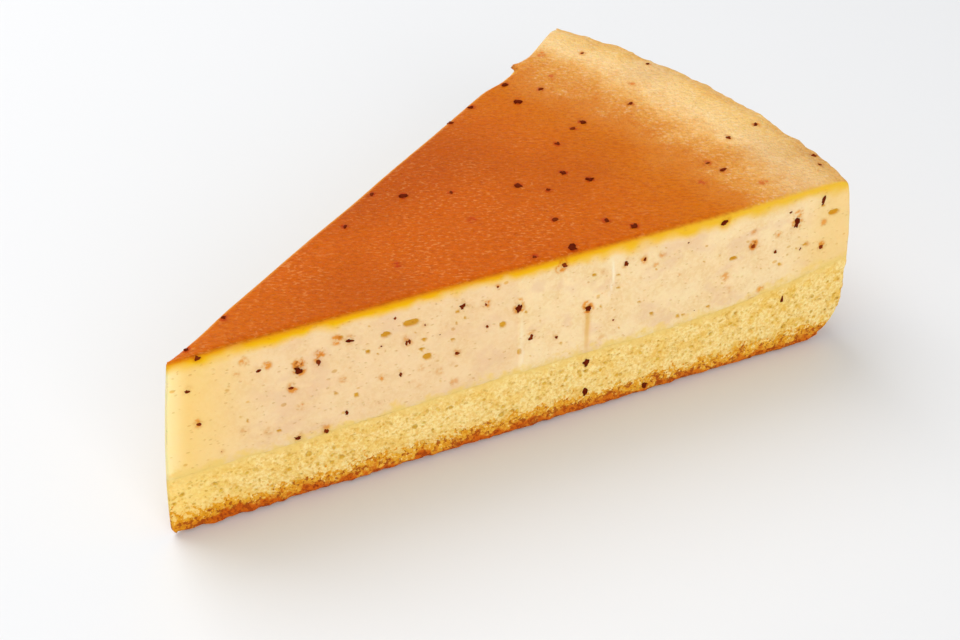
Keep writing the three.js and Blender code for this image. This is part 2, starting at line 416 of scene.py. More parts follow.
def make_pore_group():
    """Round pores of uneven size, thinly or thickly spread. Gives a mask and a tint."""
    tree = bpy.data.node_groups.new("pores", "ShaderNodeTree")
    face = tree.interface
    face.new_socket("Vector", in_out="INPUT", socket_type="NodeSocketVector")
    for key in ("Size", "Width", "Share", "Softness"):
        face.new_socket(key, in_out="INPUT", socket_type="NodeSocketFloat")
    face.new_socket("Mask", in_out="OUTPUT", socket_type="NodeSocketFloat")
    face.new_socket("Tint", in_out="OUTPUT", socket_type="NodeSocketFloat")
    nodes = Nodes(tree)
    given = tree.nodes.new("NodeGroupInput").outputs
    scale = nodes.math("DIVIDE", 1.0, given["Size"])
    wobble = nodes.add("TexNoise", {"Vector": given["Vector"], "Scale": scale, "Detail": 1.0}).outputs[1]
    wobble = nodes.add("VectorMath", {0: wobble, "Scale": 0.45}, operation="SCALE").outputs[0]
    placed = nodes.add("VectorMath", {0: given["Vector"], 1: wobble}, operation="ADD").outputs[0]
    cells = nodes.add("TexVoronoi", {"Vector": placed, "Scale": scale})
    luck = nodes.add("SeparateColor", {0: cells.outputs["Color"]}).outputs
    width = nodes.math("MULTIPLY", given["Width"], nodes.math("ADD", 0.5, luck[1]))
    inner = nodes.math("SUBTRACT", width, given["Softness"])
    hole = nodes.fade(cells.outputs["Distance"], inner, width, 1.0, 0.0)
    kept = nodes.math("LESS_THAN", luck[0], given["Share"])
    out = tree.nodes.new("NodeGroupOutput")
    tree.links.new(nodes.math("MULTIPLY", hole, kept), out.inputs["Mask"])
    tree.links.new(luck[2], out.inputs["Tint"])
    return tree


pore_group = make_pore_group()
SEAM_YELLOW = srgb(242, 204, 116)


def sponge_crumb():
    material, nodes, skin = new_material("sponge_crumb")
    place = nodes.millimetres()
    height = nodes.attribute("height")
    below_seam = nodes.attribute("below_seam")
    wall = nodes.attribute("wall")
    underside = nodes.attribute("underside")
    from_tip = nodes.attribute("from_tip")
    hole = nodes.attribute("hole")
    mottle = nodes.noise(place, 2.2, 3)
    grain = nodes.noise(place, 0.45, 3, 0.65)
    grit = nodes.noise(place, 0.6, 3, 0.7)
    ragged = nodes.noise(place, 2.4, 3, 0.6)

    crumb = nodes.mix(nodes.fade(grain, 0.38, 0.62), srgb(242, 202, 116), srgb(254, 227, 156))
    patchy = nodes.math("MULTIPLY", nodes.fade(mottle, 0.47, 0.6), nodes.fade(from_tip, 70, 100, 0.6, 0.9))
    crumb = nodes.mix(patchy, crumb, PATCH_TINT, "MULTIPLY")
    # Painted glow: the crumb turns a paler yellow towards the thin tip, where light shines through it.
    crumb = nodes.mix(nodes.fade(from_tip, 0, 16, 0.6, 0), crumb, srgb(252, 214, 116))
    large = nodes.pores(place, size=1.5, width=0.27, share=0.4, softness=0.2)
    fine = nodes.pores(place, size=0.6, width=0.34, share=0.55, softness=0.24)
    middling = nodes.pores(place, size=1.0, width=0.34, share=0.6, softness=0.3)
    deep = nodes.fade(below_seam, 0.6, 2.4)
    large_mask = nodes.math("MULTIPLY", large["Mask"], deep)
    fine_mask = nodes.math("MULTIPLY", fine["Mask"], nodes.fade(below_seam, 0, 1.6, 0.4, 1))
    middling_mask = nodes.math("MULTIPLY", middling["Mask"], nodes.fade(below_seam, 0.4, 3.4, 0.2, 1))
    # The pores and the knife-opened holes are darkened: partly their amber tone, partly painted shade in
    # the hollows.
    crumb = nodes.mix(nodes.math("MULTIPLY", fine_mask, 0.65), crumb, PORE_TINT, "MULTIPLY")
    crumb = nodes.mix(nodes.math("MULTIPLY", middling_mask, 0.9), crumb, SHALLOW_PORE_TINT, "MULTIPLY")
    crumb = nodes.mix(nodes.math("MULTIPLY", large_mask, 0.9), crumb, PORE_TINT, "MULTIPLY")
    crumb = nodes.mix(nodes.fade(hole, 0, 0.8, 0, 0.6), crumb, PORE_TINT, "MULTIPLY")
    soft_seam = nodes.math("ADD", below_seam, nodes.math("MULTIPLY", ragged, -6.0))
    crumb = nodes.mix(nodes.fade(soft_seam, -2.9, -1.2, 0.75, 0), crumb, SEAM_YELLOW)

    uneven = nodes.math("ADD", nodes.math("MULTIPLY", ragged, -6.0), nodes.fade(from_tip, 2, 34, 1.9, 2.6))
    ragged_height = nodes.math("ADD", height, uneven)
    bake = nodes.fade(ragged_height, 1.0, 4.8, 1, 0)
    gold = nodes.fade(nodes.math("ADD", grit, nodes.math("MULTIPLY", bake, 0.4)), 0.66, 0.75)
    scorch = nodes.noise(place, 0.8, 3, 0.7)
    dark = nodes.fade(nodes.math("ADD", scorch, nodes.math("MULTIPLY", bake, 0.24)), 0.73, 0.8)
    rind = nodes.fade(ragged_height, 0.7, 1.8, 1, 0)
    golden = nodes.mix(nodes.fade(grain, 0.4, 0.6), srgb(222, 144, 12), srgb(238, 180, 54))
    baked = nodes.mix(nodes.math("MULTIPLY", gold, 0.95), crumb, golden)
    low_down = nodes.fade(ragged_height, 1.2, 4.2, 1, 0)
    tip_foot = nodes.math("MULTIPLY", nodes.fade(from_tip, 5, 15, 1, 0), low_down)
    tip_foot = nodes.math("MULTIPLY", tip_foot, nodes.fade(grit, 0.38, 0.56, 0.35, 1))
    baked = nodes.mix(nodes.math("MULTIPLY", tip_foot, 0.8), baked, srgb(228, 156, 12))
    rind = nodes.math("MULTIPLY", rind, nodes.fade(from_tip, 2, 7, 0.3, 0.95))
    rind_brown = nodes.mix(nodes.fade(from_tip, 48, 72), srgb(204, 94, 4), srgb(210, 110, 14))
    baked = nodes.mix(rind, baked, rind_brown)
    baked = nodes.mix(nodes.math("MULTIPLY", dark, 0.8), baked, srgb(158, 60, 4))
    wall_tan = nodes.mix(nodes.fade(grit, 0.36, 0.64), srgb(226, 164, 76), srgb(242, 194, 112))
    wall_tan = nodes.mix(nodes.fade(mottle, 0.45, 0.6, 0, 0.5), wall_tan, srgb(226, 158, 60))
    wall_tan = nodes.mix(nodes.fade(soft_seam, -2.9, 1.0, 0.8, 0), wall_tan, srgb(240, 190, 106))
    wall_tan = nodes.mix(nodes.fade(ragged_height, 0.5, 7, 0.9, 0), wall_tan, srgb(204, 118, 32))
    baked = nodes.mix(nodes.math("MULTIPLY", wall, 0.85), baked, wall_tan)
    under = nodes.mix(nodes.fade(grit, 0.3, 0.7), srgb(168, 92, 36), srgb(212, 142, 66))
    baked = nodes.mix(underside, baked, under)
    nodes.tree.links.new(baked, skin.inputs["Base Color"])

    lift = nodes.math("MULTIPLY", fine_mask, -0.5)
    lift = nodes.math("ADD", nodes.math("MULTIPLY", large_mask, -1.0), lift)
    lift = nodes.math("SUBTRACT", lift, nodes.math("MULTIPLY", middling_mask, 0.7))
    lift = nodes.math("ADD", lift, nodes.math("MULTIPLY", grain, 0.7))
    nodes.tree.links.new(nodes.bump(lift, 0.17 * MM), skin.inputs["Normal"])
    skin.inputs["Roughness"].default_value = 0.85
    skin.inputs["Specular IOR Level"].default_value = 0.15
    skin.inputs["Subsurface Weight"].default_value = 0.2
    skin.inputs["Subsurface Radius"].default_value = (1.0, 0.6, 0.25)
    skin.inputs["Subsurface Scale"].default_value = 1.0 * MM
    return material


sponge.data.materials.append(sponge_crumb())
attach(sponge, "root")
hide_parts("sponge_base")

# Cheese filling. Smooth cream cheese batter, poured on the sponge and baked until its top browned and
# its border rose and wrinkled. The knife opened its air bubbles and dragged a few marks down the cut.
FILLING_GRID = (330, 112, 62)
LAYER_OVERLAP = 0.15 * MM
LAYER_TUCK = 0.03 * MM
RIM_RISE = 0.9 * MM
RIM_RISE_FROM = 80 * MM
RIM_ROLL_WIDTH = 3 * MM
RIM_ROLL_DROP = 0.4 * MM
TIP_SLUMP_LENGTH = 13 * MM
TIP_SLUMP_DROP = 0.8 * MM
TOP_EDGE_ROUND = 1.1 * MM
TOP_SWELL = 0.22 * MM
TOP_LEATHER = 0.05 * MM
TOP_GRAIN = 0.03 * MM
RIM_BUMPS = 0.22 * MM
RIM_BUMPS_REACH = 7 * MM
RIM_WRINKLE = 0.55 * MM
RIM_WRINKLE_LENGTH = 3.4 * MM
RIM_WRINKLE_REACH = 4 * MM
RIM_CRIMP = 0.32 * MM
RIM_CRIMP_LENGTH = 1.2 * MM
WALL_GRAIN = 0.08 * MM
CUT_SWELL = 0.1 * MM
CUT_GRAIN = 0.035 * MM
PIT_SIZE = 1.3 * MM
PIT_SPREAD = 0.3
PIT_DEPTH = 0.12 * MM
FILLING_SMOOTH_TIP = 6 * MM
FLAP_AT = 89.9 * MM
FLAP_WIDTH = 0.9 * MM
FLAP_DEPTH = 1.5 * MM
NOTCH_AT = 88.3 * MM
NOTCH_DEPTH = 0.45 * MM
FAR_EDGE_HOLLOW = 1.1 * MM
HOLLOW_STARTS = (79 * MM, 86 * MM)
HOLLOW_ENDS = (94 * MM, 104 * MM)
PEEL_HEIGHT = (0.9 * MM, 1.8 * MM)
PEEL_SHARE = 0.85
WRINKLE_TURN = math.radians(41)
KNIFE_STEP_AT = 49.8 * MM
KNIFE_STEP = 0.07 * MM
KNIFE_STEP_WIDTH = 0.2 * MM
KNIFE_STEP_STARTS = (15 * MM, 24 * MM)
# Bubble and pore tints: partly the hollows' own deeper yellow, partly painted shade in them.
BUBBLE_TINT = (0.76, 0.54, 0.08, 1)
TINY_PORE_TINT = (0.84, 0.7, 0.45, 1)
PIT_TINTS = ((0.86, 0.62, 0.16, 1), (0.72, 0.56, 0.28, 1))
SOAK_TINTS = ((0.82, 0.64, 0.42, 1), (0.86, 0.47, 0.13, 1))
WELL_BAKED_TINT = (0.72, 0.62, 0.7, 1)

# The bubbles that stand out on the near cut: distance from the tip, height, width and tallness.
near_bubbles = [
    (33.6, 26.4, 2.6, 1.3),
    (29.8, 25.5, 1.7, 0.95),
    (35.7, 19.7, 1.5, 1.15),
    (47.4, 21.7, 1.1, 1.2),
    (50.1, 15.7, 0.9, 1.3),
    (85.7, 22.2, 1.5, 0.7),
    (103.2, 25.9, 2.0, 1.2),
    (61.9, 26.2, 0.8, 0.6),
]
SMALL_BUBBLES = 52
far_bubbles = [
    (24.0, 22.5, 2.0, 1.0),
    (52.5, 25.5, 1.6, 1.0),
    (66.0, 17.5, 1.3, 1.1),
    (81.0, 24.0, 2.2, 1.0),
]


def open_bubbles(marked, cut_distance, height, seam, luck):
    """Air bubbles that the knife opened: the marked ones, and many small ones strewn over the cut."""
    strewn = []
    for _ in range(SMALL_BUBBLES):
        at = luck.uniform(8, 101)
        width = 0.35 + 0.6 * luck.random() ** 3
        strewn.append((at, luck.uniform(13.5, 28), width, width * luck.uniform(0.55, 0.95)))
    hollow = np.zeros(len(height))
    depth = np.zeros(len(height))
    for at, level, width, tall in marked + strewn:
        across = (cut_distance / MM - at) / (width / 2)
        upright = (height / MM - level) / (tall / 2)
        bulge = np.sqrt(np.clip(1 - across**2 - upright**2, 0, 1))
        hollow = np.maximum(hollow, bulge * min(1, 0.35 + 0.5 * width))
        depth = np.maximum(depth, bulge * min(width * 0.34, 0.6) * MM)
    clear = ease(height - seam, 0.3 * MM, 0.9 * MM)
    return hollow * clear, depth * clear


def top_height(along, across, spots):
    crest = CAKE_RADIUS - RIM_ROLL_WIDTH
    radius = along * CAKE_RADIUS
    rise = RIM_RISE * ease(radius, RIM_RISE_FROM, crest)
    roll = RIM_ROLL_DROP * ease(radius, crest, CAKE_RADIUS) ** 2
    slump = TIP_SLUMP_DROP * (1 - ease(radius, 0, TIP_SLUMP_LENGTH)) * (0.4 + 0.6 * across)
    return CAKE_HEIGHT + rise - roll - slump + TOP_SWELL * noise_at(spots, 17 * MM, 11)


def shape_filling(block):
    along, across, up, on = grid_shares(block)
    up = up + 0.25 * np.sin(math.pi * up) / math.pi
    seam = seam_height(along, across) - LAYER_OVERLAP
    flat = seam + (CAKE_HEIGHT - seam) * up
    x, y, from_tip, from_wall = place_in_plan(along, across, np.minimum(flat, CAKE_HEIGHT))
    plan = np.stack([x, y, 0 * x], 1)
    top = top_height(along, across, plan)
    z = seam + (top - seam) * up
    spots = np.stack([x, y, z], 1)
    spread = 2 * HALF_ANGLE
    from_near = from_tip * np.sin(spread * across)
    from_far = from_tip * np.sin(spread * (1 - across))
    cut_distance = x * math.cos(HALF_ANGLE) + np.abs(y) * math.sin(HALF_ANGLE)
    depth = top - z
    steady = ease(from_tip, 0, FILLING_SMOOTH_TIP)
    top_round = TOP_EDGE_ROUND * (0.25 + 0.75 * ease(from_tip, 0, 9 * MM))

    luck = random.Random(5)
    near_hollow, near_depth = open_bubbles(near_bubbles, cut_distance, z, seam, luck)
    far_hollow, far_depth = open_bubbles(far_bubbles, cut_distance, z, seam, luck)
    hollow = near_hollow * on["near"] + far_hollow * on["far"]
    opened = near_depth * on["near"] + far_depth * on["far"]
    texture = CUT_SWELL * noise_at(spots, 5 * MM, 12) + CUT_GRAIN * noise_at(spots, 1.3 * MM, 13)
    pits = PIT_DEPTH * crumb_holes(spots, PIT_SIZE, PIT_SPREAD)
    calm = ease(depth, 0.3 * MM, 1.6 * MM) * ease(z - seam, LAYER_OVERLAP, 1.5 * MM)
    relief = (texture - pits) * calm - opened - np.where(on["low"], LAYER_TUCK, 0)
    past_step = ease(cut_distance - KNIFE_STEP_AT, -KNIFE_STEP_WIDTH, KNIFE_STEP_WIDTH)
    step = KNIFE_STEP * (1 - past_step) * ease(z, *KNIFE_STEP_STARTS)
    relief = relief - step * on["near"] * steady

    flap = ease(from_tip, FLAP_AT - 0.4 * MM, FLAP_AT) * FLAP_DEPTH
    flap = flap * np.exp(-np.maximum(from_tip - FLAP_AT, 0) / (2 * FLAP_WIDTH))
    flap = flap * (1 - ease(depth, 0.5 * MM, 1.1 * MM))
    notch = np.exp(-(((from_tip - NOTCH_AT) / FLAP_WIDTH) ** 2)) * NOTCH_DEPTH
    hollow_edge = ease(from_tip, *HOLLOW_STARTS) - ease(from_tip, *HOLLOW_ENDS)
    torn = flap - (FAR_EDGE_HOLLOW * hollow_edge + notch) * (1 - ease(depth, 0, 2.5 * MM))

    shift = np.zeros((len(z), 3))
    corner_sink = round_over(from_wall, CORNER_ROUND)[1]
    for side, out in (("near", near_out), ("far", far_out)):
        face = on[side]
        back, sink = round_over(depth, top_round)
        push = relief * steady - np.where(on["high"], 0, sink) - np.where(on["wall"], 0, corner_sink)
        push = (push + (torn if side == "far" else 0)) * face
        shift[:, 0] += out.x * push
        shift[:, 1] += out.y * push
        shift[:, 2] -= np.where(face & ~on["high"], back, 0)
    for distance, out, side in ((from_near, near_out, "near"), (from_far, far_out, "far")):
        back, sink = round_over(distance, CORNER_ROUND)
        wall_push = -(sink + np.where(on["low"], LAYER_TUCK / 2, 0)) * (on["wall"] & ~on["high"])
        shift[:, 0] += x / np.hypot(x, y) * wall_push - out.x * back * on["wall"] * ~on["high"]
        shift[:, 1] += y / np.hypot(x, y) * wall_push - out.y * back * on["wall"] * ~on["high"]
        back, sink = round_over(distance, top_round)
        shift[:, 0] -= out.x * back * on["high"]
        shift[:, 1] -= out.y * back * on["high"]
        shift[:, 2] -= sink * on["high"]
    inland = torn * (1 - ease(from_far, 0, 5 * MM)) * (on["high"] & ~on["far"])
    shift[:, 0] += far_out.x * inland
    shift[:, 1] += far_out.y * inland

    arc = np.stack([np.arctan2(y, x) * CAKE_RADIUS, 0.5 * z, 0 * z], 1)
    wrinkle = RIM_WRINKLE * noise_at(arc, RIM_WRINKLE_LENGTH, 14)
    wrinkle = wrinkle + RIM_CRIMP * noise_at(arc, RIM_CRIMP_LENGTH, 15)
    near_rim = (1 - ease(from_wall, 0, RIM_WRINKLE_REACH)) * (1 - ease(depth, 0, RIM_WRINKLE_REACH))
    wrinkle = wrinkle * near_rim * (on["high"] | on["wall"])
    grain = WALL_GRAIN * noise_at(spots, 1.6 * MM, 16) * on["wall"] * ease(depth, 0, 3 * MM)
    shift[:, 0] += x / np.hypot(x, y) * (wrinkle + grain)
    shift[:, 1] += y / np.hypot(x, y) * (wrinkle + grain)
    leather = TOP_LEATHER * noise_at(spots, 2.1 * MM, 17) + TOP_GRAIN * noise_at(spots, 0.9 * MM, 18)
    rim_bumps = RIM_BUMPS * noise_at(spots, 2.8 * MM, 19) * (1 - ease(from_wall, 0, RIM_BUMPS_REACH))
    shift[:, 2] += (leather + rim_bumps) * on["high"]

    skin_depth = np.where(on["high"], round_over(np.minimum(from_near, from_far), top_round)[1], 0)
    skin_depth = skin_depth + np.where(on["high"], 0, depth - np.minimum(shift[:, 2], 0))
    peeled = np.exp(-(((from_tip - FLAP_AT) / (1.5 * FLAP_WIDTH)) ** 2)) * on["far"]
    peeled = peeled * (1 - ease(depth, *PEEL_HEIGHT))
    skin_depth = skin_depth * (1 - PEEL_SHARE * peeled)
    attributes = {
        "depth": skin_depth / MM,
        "above_seam": (z - seam) / MM,
        "from_tip": from_tip / MM,
        "hollow": hollow,
        "wall": on["wall"].astype(float),
        "cut_distance": cut_distance / MM,
        "near_cut": on["near"].astype(float),
    }
    return spots + shift + np.array(tip_spot), attributes


filling_block = scored_block(FILLING_GRID, hidden_level=0)
filling = finished_piece("filling", filling_block, *shape_filling(filling_block))


def baked_filling():
    material, nodes, skin = new_material("baked_filling")
    place = nodes.millimetres()
    depth = nodes.attribute("depth")
    above_seam = nodes.attribute("above_seam")
    from_tip = nodes.attribute("from_tip")
    hollow = nodes.attribute("hollow")
    wall = nodes.attribute("wall")
    stain = nodes.attribute("stain")
    scrape = nodes.attribute("scrape")
    smear = nodes.attribute("smear")
    near_cut = nodes.attribute("near_cut")
    cut_distance = nodes.attribute("cut_distance")
    ragged = nodes.noise(place, 2.5, 3, 0.6)

    soft = nodes.noise(place, 4.0, 2)
    fine_grain = nodes.noise(place, 0.6, 3, 0.6)
    cream = nodes.mix(nodes.fade(soft, 0.35, 0.65), srgb(240, 206, 152), srgb(247, 217, 168))
    cream = nodes.mix(nodes.fade(fine_grain, 0.4, 0.62, 0, 0.4), cream, srgb(252, 228, 180))
    mauve = nodes.noise(nodes.stretched(place, (1.0, 1.0, 1.3)), 8.0, 3, 0.6)
    cream = nodes.mix(nodes.fade(mauve, 0.52, 0.66, 0, 0.55), cream, srgb(234, 196, 158))
    before_step = nodes.math("MULTIPLY", nodes.fade(cut_distance, 49.6, 50.0, 0.3, 0), near_cut)
    cream = nodes.mix(before_step, cream, srgb(232, 190, 146))
    # Painted glow: the cream turns yellow and then pale towards the thin tip, where light shines through
    # it.
    cream = nodes.mix(nodes.fade(from_tip, 0, 17, 0.9, 0), cream, srgb(248, 208, 120))
    cream = nodes.mix(nodes.fade(from_tip, 0.3, 4.0, 0.8, 0), cream, srgb(255, 238, 178))
    cream = nodes.mix(nodes.fade(from_tip, 96, 106, 0, 0.7), cream, srgb(244, 206, 130))
    flattened = nodes.stretched(place, (1.0, 1.0, 1.7))
    tiny = nodes.pores(flattened, size=0.75, width=0.28, share=0.36, softness=0.22)
    flattened = nodes.stretched(place, (1.0, 1.0, 1.4))
    pits = nodes.pores(flattened, size=2.4, width=0.15, share=0.45, softness=0.1)
    # Pores, pits and opened bubbles are darkened: partly their own deeper yellow, partly painted shade in
    # the hollows.
    cream = nodes.mix(nodes.math("MULTIPLY", tiny["Mask"], 0.5), cream, TINY_PORE_TINT, "MULTIPLY")
    pit_tint = nodes.mix(pits["Tint"], *PIT_TINTS)
    cream = nodes.mix(nodes.math("MULTIPLY", pits["Mask"], 0.7), cream, pit_tint, "MULTIPLY")
    cream = nodes.mix(nodes.fade(hollow, 0.0, 0.6, 0, 1.0), cream, BUBBLE_TINT, "MULTIPLY")
    cream = nodes.mix(nodes.math("MULTIPLY", scrape, 0.7), cream, srgb(255, 244, 218))
    seam_edge = nodes.math("ADD", above_seam, nodes.math("MULTIPLY", ragged, 7.0))
    cream = nodes.mix(nodes.fade(seam_edge, 3.1, 5.3, 0.95, 0), cream, SEAM_YELLOW)
    cream = nodes.mix(nodes.math("MULTIPLY", smear, 0.95), cream, srgb(228, 176, 92))

    band_limit = nodes.fade(from_tip, 4, 34, 2.7, 2.3)
    band_limit = nodes.math("ADD", band_limit, nodes.fade(from_tip, 50, 80, 0, 0.7))
    swell = nodes.noise(place, 3.6, 1)
    band_depth = nodes.math("ADD", depth, nodes.math("MULTIPLY", swell, -3.0))
    band_share = nodes.math("DIVIDE", nodes.math("ADD", band_depth, 1.5), band_limit)
    band = nodes.fade(band_share, 0.3, 1.1, 1, 0)
    yolk = nodes.ramp(nodes.math("MULTIPLY", from_tip, 0.01), [
        (0.0, srgb(241, 188, 8)),
        (0.35, srgb(242, 188, 4)),
        (0.62, srgb(242, 188, 22)),
        (0.98, srgb(238, 190, 58)),
    ])
    amber = nodes.fade(depth, 0.3, 1.5, 0.75, 0)
    amber = nodes.math("MULTIPLY", amber, nodes.fade(from_tip, 45, 88, 1, 0.1))
    yolk = nodes.mix(amber, yolk, srgb(224, 140, 0))
    cream = nodes.mix(band, cream, yolk)

    aslant = nodes.add("VectorRotate", {"Vector": place, "Angle": WRINKLE_TURN}, rotation_type="Z_AXIS")
    wrinkled = nodes.stretched(aslant.outputs[0], (0.5, 1.0, 1.0))
    speckle = nodes.noise(wrinkled, 0.5, 4, 0.65)
    wrinkle = nodes.noise(wrinkled, 0.8, 4, 0.6, 0.8)
    glint = nodes.noise(wrinkled, 0.36, 2, 0.5)
    peel = nodes.noise(place, 0.75, 2, 0.5)
    blotch = nodes.noise(place, 9.0, 3, 0.6)
    drift = nodes.noise(place, 26.0, 2)
    browning = from_tip
    for cloud, reach in ((blotch, 14.0), (peel, 5.0)):
        drifted = nodes.math("MULTIPLY", nodes.math("SUBTRACT", cloud, 0.5), reach)
        browning = nodes.math("ADD", browning, drifted)
    pale_rim = nodes.fade(browning, 80, 92)
    top = nodes.ramp(nodes.math("MULTIPLY", browning, 1 / 110), [
        (0.0, srgb(214, 108, 2)),
        (0.22, srgb(208, 97, 0)),
        (0.5, srgb(204, 93, 0)),
        (0.66, srgb(206, 101, 2)),
        (0.74, srgb(208, 111, 6)),
        (0.8, srgb(212, 124, 18)),
        (0.825, srgb(220, 145, 44)),
        (0.85, srgb(232, 170, 82)),
        (0.895, srgb(244, 204, 136)),
        (0.93, srgb(240, 196, 116)),
        (0.96, srgb(232, 178, 88)),
    ])
    on_brown = nodes.fade(pale_rim, 0, 1, 1, 0.35)
    seared = nodes.math("MULTIPLY", nodes.fade(speckle, 0.38, 0.55, 0.36, 0), on_brown)
    top = nodes.mix(seared, top, srgb(170, 70, 4))
    at_rim = nodes.fade(pale_rim, 0.6, 1)
    # Painted glints: sparse pale specks on the wrinkled skin, more on the pale rim, stand in for
    # highlights.
    painted_glints = nodes.fade(blotch, 0.4, 0.6, 0.16, 0.4)
    painted_glints = nodes.math("MULTIPLY", painted_glints, nodes.fade(from_tip, 62, 82, 1, 0.22))
    painted_glints = nodes.math("ADD", painted_glints, nodes.math("MULTIPLY", at_rim, 0.17))
    painted_glints = nodes.math("MULTIPLY", painted_glints, nodes.fade(glint, 0.52, 0.7))
    top = nodes.mix(painted_glints, top, nodes.mix(at_rim, srgb(242, 164, 92), srgb(255, 234, 204)))
    over_baked = nodes.mix(0.55, top, srgb(150, 56, 0))
    top = nodes.mix(nodes.fade(drift, 0.45, 0.66, 0, 0.4), top, over_baked)
    aside = nodes.add("SeparateXYZ", {0: place}).outputs[1]
    well_baked = nodes.math("MULTIPLY", nodes.fade(aside, 1, 12), nodes.fade(from_tip, 26, 42))
    well_baked = nodes.math("MULTIPLY", well_baked, nodes.fade(from_tip, 60, 76, 0.5, 0))
    top = nodes.mix(well_baked, top, WELL_BAKED_TINT, "MULTIPLY")
    # Painted rim light: a thin golden line along the top's far edge, where the light catches it.
    far_edge_rim_light = nodes.math("MULTIPLY", nodes.fade(depth, 0, 0.07, 0, 0.75), nodes.fade(aside, -1, 1))
    far_edge_rim_light = nodes.math("MULTIPLY", far_edge_rim_light, nodes.fade(pale_rim, 0, 1, 1, 0))
    top = nodes.mix(far_edge_rim_light, top, srgb(222, 138, 10))
    skin_depth = nodes.math("ADD", depth, nodes.math("MULTIPLY", speckle, 0.3))
    browned = nodes.fade(skin_depth, 0.25, 0.95, 1, 0)
    side_tan = nodes.mix(nodes.fade(fine_grain, 0.36, 0.64), srgb(240, 194, 116), srgb(246, 208, 138))
    side_tan = nodes.mix(nodes.fade(seam_edge, 2.5, 7.0, 0.7, 0), side_tan, srgb(240, 190, 106))
    side_tan = nodes.mix(nodes.fade(blotch, 0.42, 0.62, 0, 0.6), side_tan, srgb(234, 180, 98))
    side_tan = nodes.mix(nodes.fade(depth, 0.5, 5, 0.6, 0), side_tan, srgb(226, 164, 80))
    cream = nodes.mix(nodes.math("MULTIPLY", wall, 0.9), cream, side_tan)
    colour = nodes.mix(browned, cream, top)
    blot = nodes.noise(place, 0.8, 2)
    soaked = nodes.math("MULTIPLY", stain, nodes.fade(blot, 0.36, 0.6, 0.45, 1.3))
    soak_tint = nodes.mix(nodes.fade(soaked, 0.2, 0.7), *SOAK_TINTS)
    colour = nodes.mix(nodes.fade(soaked, 0, 0.8), colour, soak_tint, "MULTIPLY")
    colour = nodes.mix(nodes.fade(soaked, 0.8, 1.2, 0, 0.7), colour, srgb(140, 52, 12))
    nodes.tree.links.new(colour, skin.inputs["Base Color"])

    leather = nodes.math("ADD", wrinkle, nodes.math("MULTIPLY", speckle, 0.5))
    leather = nodes.math("SUBTRACT", leather, 0.75)
    leather = nodes.math("MULTIPLY", leather, on_brown)
    rim_peel = nodes.math("MULTIPLY", nodes.math("SUBTRACT", peel, 0.5), pale_rim)
    leather = nodes.math("ADD", leather, nodes.math("MULTIPLY", rim_peel, 1.5))
    leather = nodes.math("MULTIPLY", leather, browned)
    grain = nodes.math("MULTIPLY", tiny["Mask"], 0.25)
    grain = nodes.math("SUBTRACT", nodes.math("MULTIPLY", fine_grain, 0.25), grain)
    nodes.tree.links.new(nodes.bump(nodes.math("ADD", leather, grain), 0.26 * MM), skin.inputs["Normal"])
    nodes.tree.links.new(nodes.fade(browned, 0, 1, 0.6, 0.42), skin.inputs["Roughness"])
    shine = nodes.math("MULTIPLY", nodes.math("MULTIPLY", pale_rim, 0.2), browned)
    nodes.tree.links.new(nodes.math("ADD", shine, 0.07), skin.inputs["Specular IOR Level"])
    skin.inputs["Subsurface Weight"].default_value = 0.3
    skin.inputs["Subsurface Radius"].default_value = (1.0, 0.55, 0.25)
    skin.inputs["Subsurface Scale"].default_value = 1.3 * MM
    return material


filling.data.materials.append(baked_filling())
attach(filling, "root")
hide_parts("cheese_filling")

# Dark flecks. Bits of a dark ingredient stirred through the batter. Each is an uneven lump, sunk in the
# top, a cut or the wall but for 0.5 mm at most, and stains the batter round it. The knife dragged a few
# down onto the sponge.
FLECK_SINK = 0.66
FLECK_THICKNESS = 0.7
FLECK_DENTS = 0.8
LARGE_DENT = 0.38 * MM
SMALL_DENT = 0.17 * MM
STAIN_SPREAD = 0.55 * MM
FAR_FLECKS = 34
FAINT_FLECKS = 13
WALL_FLECKS = 12
BURIED_STAINS = 24
SMEAR_AT = 61.1 * MM
SMEAR_WIDTH = 0.4 * MM
SMEAR_STARTS = (8 * MM, 18 * MM)
SMEAR_ENDS = (19.5 * MM, 21 * MM)
SCRAPE_AT = 64.6 * MM
SCRAPE_WIDTH = 0.2 * MM
SCRAPE_BOW = 0.5 * MM
SCRAPE_STARTS = (20 * MM, 25 * MM)
SCRAPE_ENDS = (26 * MM, 29.5 * MM)
STEP_SCRAPE_AT = KNIFE_STEP_AT + 0.6 * MM
STEP_SCRAPE_WIDTH = 0.25 * MM
STEP_SCRAPE_STARTS = (2 * MM, 9 * MM)
STEP_SCRAPE_ENDS = (19 * MM, 25 * MM)

